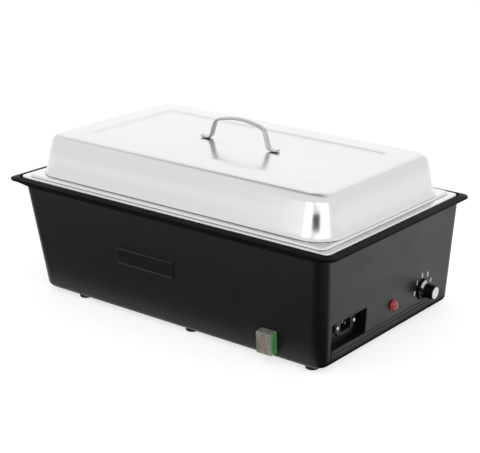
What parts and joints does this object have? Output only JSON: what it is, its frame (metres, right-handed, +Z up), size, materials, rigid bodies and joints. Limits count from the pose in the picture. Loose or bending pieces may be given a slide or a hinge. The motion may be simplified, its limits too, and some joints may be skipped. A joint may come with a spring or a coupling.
{
  "type": "electric chafing dish",
  "caption": "Rectangular food warmer: black tapered casing, steel water basin and food pan, lift-off domed steel lid with a bow handle, end-wall controls.",
  "frame": {"origin": "on the surface the feet stand on, under the middle of the casing's rim", "axes": "+X along the length towards the end wall with the knob, -Y towards the long wall with the switch, +Z up"},
  "size_m": [0.5826, 0.365, 0.2688],
  "materials": {
    "black_plastic": "fine moulded texture, satin black",
    "knob_plastic": "smooth black",
    "inlet_plastic": "smooth black",
    "badge_finish": "bare black plate with a thin bevelled edge",
    "brushed_steel": "satin stainless steel",
    "lid_steel": "fine brushed stainless steel",
    "dull_steel": "plain zinc-plated steel",
    "screw_steel": "bright plated",
    "satin_metal": "satin turned aluminium",
    "chrome": "polished chrome",
    "aluminium": "mill finish",
    "brass": "plain brass",
    "rubber": "black rubber",
    "silicone": "grey silicone foam",
    "grey_plastic": "dark grey moulded",
    "white_plastic": "off-white nylon",
    "wire_sleeve": "silicone wire sleeve",
    "green_plastic": "translucent green",
    "clear_plastic": "clear, slightly clouded soft plastic",
    "red_lens": "translucent red"
  },
  "bodies": {
    "root": {"badge_plate": "badge_finish", "base_plate": "dull_steel", "base_plate_screw_1": "dull_steel", "base_plate_screw_2": "dull_steel", "base_plate_screw_3": "dull_steel", "base_plate_screw_4": "dull_steel", "basin_seal": "silicone", "bulb_clip": "dull_steel", "capillary": "brass", "casing": "black_plastic", "clamp_nut_1": "dull_steel", "clamp_nut_2": "dull_steel", "clamp_nut_3": "dull_steel", "clamp_nut_4": "dull_steel", "earth_stud": "brass", "element_clamp_1": "dull_steel", "element_clamp_2": "dull_steel", "foot_back_left": "rubber", "foot_back_middle": "rubber", "foot_back_right": "rubber", "foot_front_left": "rubber", "foot_front_middle": "rubber", "foot_front_right": "rubber", "heat_shield": "aluminium", "heating_element": "dull_steel", "inlet_pin_1": "dull_steel", "inlet_pin_2": "dull_steel", "inlet_pin_3": "dull_steel", "inlet_recess": "black_plastic", "inlet_screw_1": "screw_steel", "inlet_screw_2": "screw_steel", "pilot_lamp_body": "white_plastic", "pilot_lamp_lens": "red_lens", "pilot_lamp_nut": "dull_steel", "power_inlet": "inlet_plastic", "spreader_plate": "aluminium", "switch_body": "inlet_plastic", "switch_cover": "clear_plastic", "thermal_cutout": "grey_plastic", "thermostat_body": "grey_plastic", "thermostat_nut": "dull_steel", "water_basin": "brushed_steel", "wire_cutout_element": "wire_sleeve", "wire_inlet_earth": "wire_sleeve", "wire_inlet_live": "wire_sleeve", "wire_inlet_neutral": "wire_sleeve", "wire_switch_element": "wire_sleeve", "wire_switch_thermostat": "wire_sleeve", "wire_thermostat_cutout": "wire_sleeve"},
    "control_knob": {"thermostat_shaft": "dull_steel", "knob": "knob_plastic", "knob_cap": "satin_metal"},
    "rocker": {"switch_rocker": "green_plastic"},
    "pan": {"food_pan": "brushed_steel"},
    "lid_body": {"lid": "lid_steel", "lid_handle": "chrome", "handle_washer_1": "dull_steel", "handle_washer_2": "dull_steel", "handle_screw_1": "dull_steel", "handle_screw_2": "dull_steel"}
  },
  "joints": [
    {"name": "knob_turn", "type": "hinge", "parent": "root", "child": "control_knob", "pos_m": [0.27171, 0.0846, 0.045], "axis": [-0.9995, 0, 0.0329], "range_deg": [0, 225]},
    {"name": "rocker_tilt", "type": "hinge", "parent": "root", "child": "rocker", "pos_m": [0.188, -0.16934, 0.02927], "axis": [-1, 0, 0], "range_deg": [0, 14]},
    {"name": "pan_lift", "type": "slide", "parent": "root", "child": "pan", "axis": [0, 0, 1], "range_m": [0, 0.12]},
    {"name": "lid_lift", "type": "slide", "parent": "pan", "child": "lid_body", "axis": [0, 0, 1], "range_m": [0, 0.12]}
  ]
}
